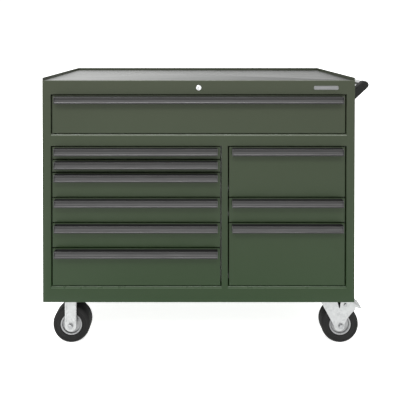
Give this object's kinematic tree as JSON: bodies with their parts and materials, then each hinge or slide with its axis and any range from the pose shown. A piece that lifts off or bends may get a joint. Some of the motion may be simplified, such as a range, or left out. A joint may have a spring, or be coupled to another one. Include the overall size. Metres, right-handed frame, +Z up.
{
  "type": "rolling tool chest",
  "caption": "Wheeled sheet-steel tool chest with a full-width drawer over two drawer banks, full-width pulls, a rimmed top, a lock, a side push handle and swivel and rigid casters.",
  "frame": {"origin": "middle of the whole object's box, on the floor", "axes": "+X to the right of someone facing the drawers, +Y towards the back, +Z up; the drawers open towards -Y"},
  "size_m": [1.2354, 0.4758, 1.0184],
  "materials": {
    "green_paint": "semi-gloss muted olive-green powder coat",
    "top_sheet": "smooth light-grey work surface, semi-gloss",
    "drawer_pull": "dark grey anodised extrusion, fine lengthwise grain",
    "zinc_plate": "bright zinc-plated pressed steel",
    "wheel_hub": "cast light metal, slightly rough",
    "tyre": "matt black rubber",
    "black_plastic": "fine-grained black moulding",
    "handle_tube": "bright plated tube",
    "lock_chrome": "bright chrome"
  },
  "bodies": {
    "cabinet": {"left_side_panel": "green_paint", "right_side_panel": "green_paint", "back_panel": "green_paint", "bottom_panel": "green_paint", "front_frame": "green_paint", "top_tray": "green_paint", "top_mat": "top_sheet", "bank_divider": "green_paint", "top_bank_left_rail": "zinc_plate", "top_bank_right_rail": "zinc_plate", "left_bank_left_rail": "zinc_plate", "left_bank_right_rail": "zinc_plate", "right_bank_left_rail": "zinc_plate", "right_bank_right_rail": "zinc_plate", "side_handle_bracket_front": "black_plastic", "side_handle_bracket_rear": "black_plastic", "side_handle_tube": "handle_tube", "lock_housing": "lock_chrome", "rigid_fork_front": "zinc_plate", "rigid_axle_front": "zinc_plate", "swivel_plate_front": "zinc_plate", "rigid_fork_rear": "zinc_plate", "rigid_axle_rear": "zinc_plate", "swivel_plate_rear": "zinc_plate"},
    "drawer_top_body": {"drawer_top": "green_paint", "pull_top": "drawer_pull"},
    "drawer_left_1_body": {"drawer_left_1": "green_paint", "pull_left_1": "drawer_pull"},
    "drawer_left_2_body": {"drawer_left_2": "green_paint", "pull_left_2": "drawer_pull"},
    "drawer_left_3_body": {"drawer_left_3": "green_paint", "pull_left_3": "drawer_pull"},
    "drawer_left_4_body": {"drawer_left_4": "green_paint", "pull_left_4": "drawer_pull"},
    "drawer_left_5_body": {"drawer_left_5": "green_paint", "pull_left_5": "drawer_pull"},
    "drawer_left_6_body": {"drawer_left_6": "green_paint", "pull_left_6": "drawer_pull"},
    "drawer_right_1_body": {"drawer_right_1": "green_paint", "pull_right_1": "drawer_pull"},
    "drawer_right_2_body": {"drawer_right_2": "green_paint", "pull_right_2": "drawer_pull"},
    "drawer_right_3_body": {"drawer_right_3": "green_paint", "pull_right_3": "drawer_pull"},
    "rigid_wheel_front": {"rigid_hub_front": "wheel_hub", "rigid_tyre_front": "tyre"},
    "swivel_front": {"swivel_fork_front": "zinc_plate", "swivel_axle_front": "zinc_plate"},
    "swivel_wheel_front": {"swivel_hub_front": "wheel_hub", "swivel_tyre_front": "tyre"},
    "brake_front": {"brake_pedal_front": "zinc_plate"},
    "rigid_wheel_rear": {"rigid_hub_rear": "wheel_hub", "rigid_tyre_rear": "tyre"},
    "swivel_rear": {"swivel_fork_rear": "zinc_plate", "swivel_axle_rear": "zinc_plate"},
    "swivel_wheel_rear": {"swivel_hub_rear": "wheel_hub", "swivel_tyre_rear": "tyre"},
    "brake_rear": {"brake_pedal_rear": "zinc_plate"},
    "lock": {"lock_cylinder": "lock_chrome", "lock_rod": "zinc_plate"}
  },
  "joints": [
    {"name": "drawer_top_slide", "type": "slide", "parent": "cabinet", "child": "drawer_top_body", "axis": [0, -1, 0], "range_m": [0, 0.3]},
    {"name": "drawer_left_1_slide", "type": "slide", "parent": "cabinet", "child": "drawer_left_1_body", "axis": [0, -1, 0], "range_m": [0, 0.3]},
    {"name": "drawer_left_2_slide", "type": "slide", "parent": "cabinet", "child": "drawer_left_2_body", "axis": [0, -1, 0], "range_m": [0, 0.3]},
    {"name": "drawer_left_3_slide", "type": "slide", "parent": "cabinet", "child": "drawer_left_3_body", "axis": [0, -1, 0], "range_m": [0, 0.3]},
    {"name": "drawer_left_4_slide", "type": "slide", "parent": "cabinet", "child": "drawer_left_4_body", "axis": [0, -1, 0], "range_m": [0, 0.3]},
    {"name": "drawer_left_5_slide", "type": "slide", "parent": "cabinet", "child": "drawer_left_5_body", "axis": [0, -1, 0], "range_m": [0, 0.3]},
    {"name": "drawer_left_6_slide", "type": "slide", "parent": "cabinet", "child": "drawer_left_6_body", "axis": [0, -1, 0], "range_m": [0, 0.3]},
    {"name": "drawer_right_1_slide", "type": "slide", "parent": "cabinet", "child": "drawer_right_1_body", "axis": [0, -1, 0], "range_m": [0, 0.3]},
    {"name": "drawer_right_2_slide", "type": "slide", "parent": "cabinet", "child": "drawer_right_2_body", "axis": [0, -1, 0], "range_m": [0, 0.3]},
    {"name": "drawer_right_3_slide", "type": "slide", "parent": "cabinet", "child": "drawer_right_3_body", "axis": [0, -1, 0], "range_m": [0, 0.3]},
    {"name": "rigid_wheel_front_spin", "type": "hinge", "parent": "cabinet", "child": "rigid_wheel_front", "pos_m": [-0.52075, -0.1671, 0.071], "axis": [0, 1, 0], "continuous": true},
    {"name": "swivel_front_turn", "type": "hinge", "parent": "cabinet", "child": "swivel_front", "pos_m": [0.46825, -0.1671, 0.1645], "axis": [0, 0, 1], "continuous": true},
    {"name": "swivel_wheel_front_spin", "type": "hinge", "parent": "swivel_front", "child": "swivel_wheel_front", "pos_m": [0.50725, -0.1671, 0.071], "axis": [0, 1, 0], "continuous": true},
    {"name": "brake_front_press", "type": "hinge", "parent": "swivel_front", "child": "brake_front", "pos_m": [0.52425, -0.1671, 0.152], "axis": [0, 1, 0], "range_deg": [0, 16]},
    {"name": "rigid_wheel_rear_spin", "type": "hinge", "parent": "cabinet", "child": "rigid_wheel_rear", "pos_m": [-0.52075, 0.1849, 0.071], "axis": [0, 1, 0], "continuous": true},
    {"name": "swivel_rear_turn", "type": "hinge", "parent": "cabinet", "child": "swivel_rear", "pos_m": [0.46825, 0.1849, 0.1645], "axis": [0, 0, 1], "continuous": true},
    {"name": "swivel_wheel_rear_spin", "type": "hinge", "parent": "swivel_rear", "child": "swivel_wheel_rear", "pos_m": [0.50725, 0.1849, 0.071], "axis": [0, 1, 0], "continuous": true},
    {"name": "brake_rear_press", "type": "hinge", "parent": "swivel_rear", "child": "brake_rear", "pos_m": [0.52425, 0.1849, 0.152], "axis": [0, 1, 0], "range_deg": [0, 16]},
    {"name": "lock_turn", "type": "hinge", "parent": "cabinet", "child": "lock", "pos_m": [-0.03375, -0.2201, 0.9816], "axis": [0, 1, 0], "range_deg": [0, 90]}
  ]
}
